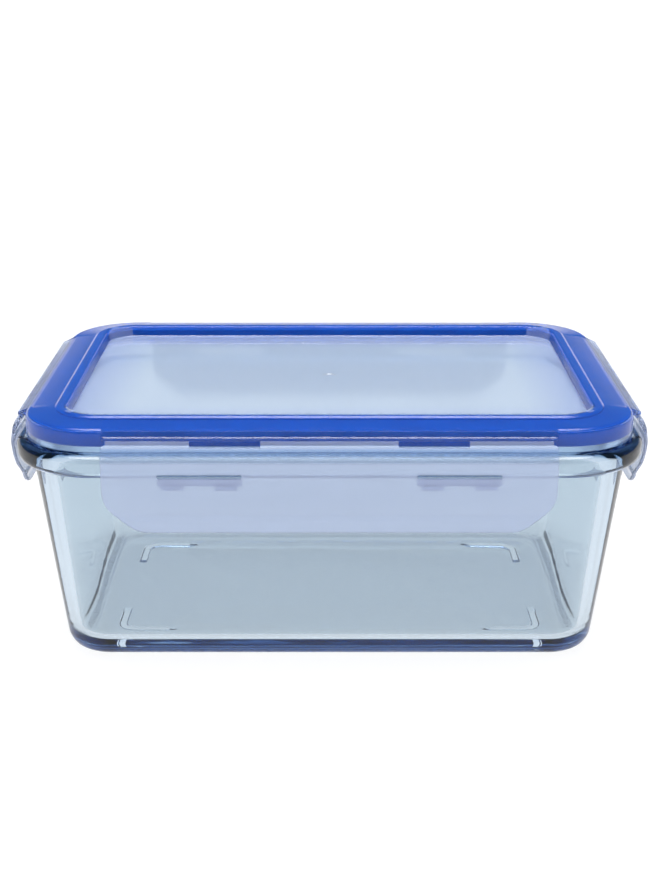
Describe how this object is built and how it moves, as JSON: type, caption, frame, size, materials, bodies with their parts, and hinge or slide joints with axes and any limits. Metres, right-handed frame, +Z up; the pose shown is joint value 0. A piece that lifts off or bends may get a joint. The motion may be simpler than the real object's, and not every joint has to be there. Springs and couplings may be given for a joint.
{
  "type": "glass storage container",
  "caption": "Rectangular tapered glass food box with a thick rolled rim, translucent clip-on lid, blue silicone gasket and hinged locking flaps on all sides.",
  "frame": {"origin": "middle of the footprint, on the plane that the four foot ridges stand on", "axes": "+Z up through the lid, +X along the length, -Y towards the front long side"},
  "size_m": [0.238, 0.174, 0.0974],
  "materials": {
    "glass": "polished, faint green-blue tint",
    "clear_polypropylene": "frosted translucent, satin",
    "silicone": "smooth, deep blue"
  },
  "bodies": {
    "container": {"glass_container": "glass"},
    "lid": {"lid": "clear_polypropylene", "gasket": "silicone", "front_living_hinge": "clear_polypropylene", "right_living_hinge": "clear_polypropylene", "back_living_hinge": "clear_polypropylene", "left_living_hinge": "clear_polypropylene"},
    "front_flap": {"front_flap": "clear_polypropylene", "front_flap_catches": "clear_polypropylene"},
    "right_flap": {"right_flap": "clear_polypropylene", "right_flap_catches": "clear_polypropylene"},
    "back_flap": {"back_flap": "clear_polypropylene", "back_flap_catches": "clear_polypropylene"},
    "left_flap": {"left_flap": "clear_polypropylene", "left_flap_catches": "clear_polypropylene"}
  },
  "joints": [
    {"name": "lid_lift", "type": "slide", "parent": "container", "child": "lid", "axis": [0, 0, 1], "range_m": [0, 0.13], "deforming": ["front_flap_catches", "right_flap_catches", "back_flap_catches", "left_flap_catches"]},
    {"name": "front_flap_hinge", "type": "hinge", "parent": "lid", "child": "front_flap", "pos_m": [0, -0.08435, 0.0918], "axis": [-1, 0, 0], "range_deg": [0, 165]},
    {"name": "right_flap_hinge", "type": "hinge", "parent": "lid", "child": "right_flap", "pos_m": [0.11635, 0, 0.0918], "axis": [0, -1, 0], "range_deg": [0, 165]},
    {"name": "back_flap_hinge", "type": "hinge", "parent": "lid", "child": "back_flap", "pos_m": [0, 0.08435, 0.0918], "axis": [1, 0, 0], "range_deg": [0, 165]},
    {"name": "left_flap_hinge", "type": "hinge", "parent": "lid", "child": "left_flap", "pos_m": [-0.11635, 0, 0.0918], "axis": [0, 1, 0], "range_deg": [0, 165]}
  ]
}
